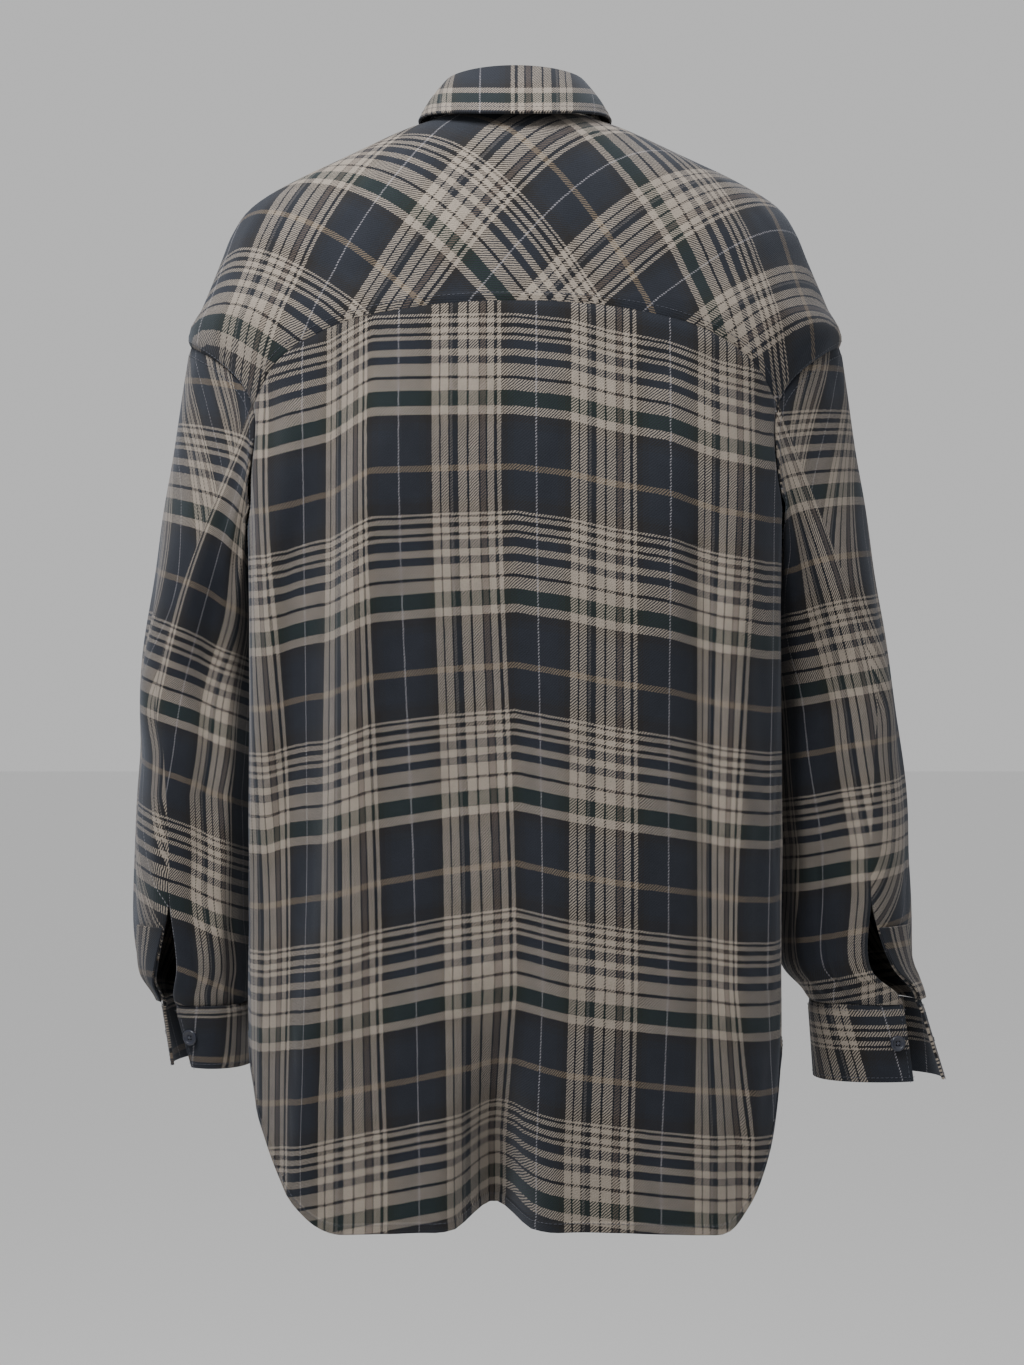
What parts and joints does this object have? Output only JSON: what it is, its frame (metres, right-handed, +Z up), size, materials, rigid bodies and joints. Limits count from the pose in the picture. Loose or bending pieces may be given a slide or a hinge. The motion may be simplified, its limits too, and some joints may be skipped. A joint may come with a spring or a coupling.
{
  "type": "flannel shirt",
  "caption": "Oversized long-sleeved plaid flannel shirt in its hollow worn form, with a bias yoke, dropped shoulders, turned-down collar, shirttail hem and unbuttoned cuffs.",
  "frame": {"origin": "centre of the neck opening at the height where the shoulders meet the neck, where the wearer's neck and shoulders carry the shirt", "axes": "+Z up, the wearer faces -Y, +X is the wearer's left"},
  "size_m": [0.5992, 0.2748, 0.828],
  "materials": {
    "flannel": "brushed twill plaid in navy, charcoal, cream, forest green and tan, soft nap, no shine",
    "button": "dark navy resin, soft satin"
  },
  "bodies": {
    "root": {"back": "flannel", "yoke": "flannel", "front_left": "flannel", "front_right": "flannel", "button_band": "flannel", "buttonhole_band": "flannel", "collar_stand": "flannel", "collar_leaf": "flannel", "sleeve_left": "flannel", "sleeve_right": "flannel", "placket_left": "flannel", "placket_right": "flannel", "cuff_left": "flannel", "cuff_right": "flannel", "button_front_1": "button", "button_front_2": "button", "button_front_3": "button", "button_front_4": "button", "button_front_5": "button", "button_front_6": "button", "button_front_7": "button", "button_stand": "button", "button_cuff_left": "button", "button_cuff_right": "button"}
  },
  "joints": []
}
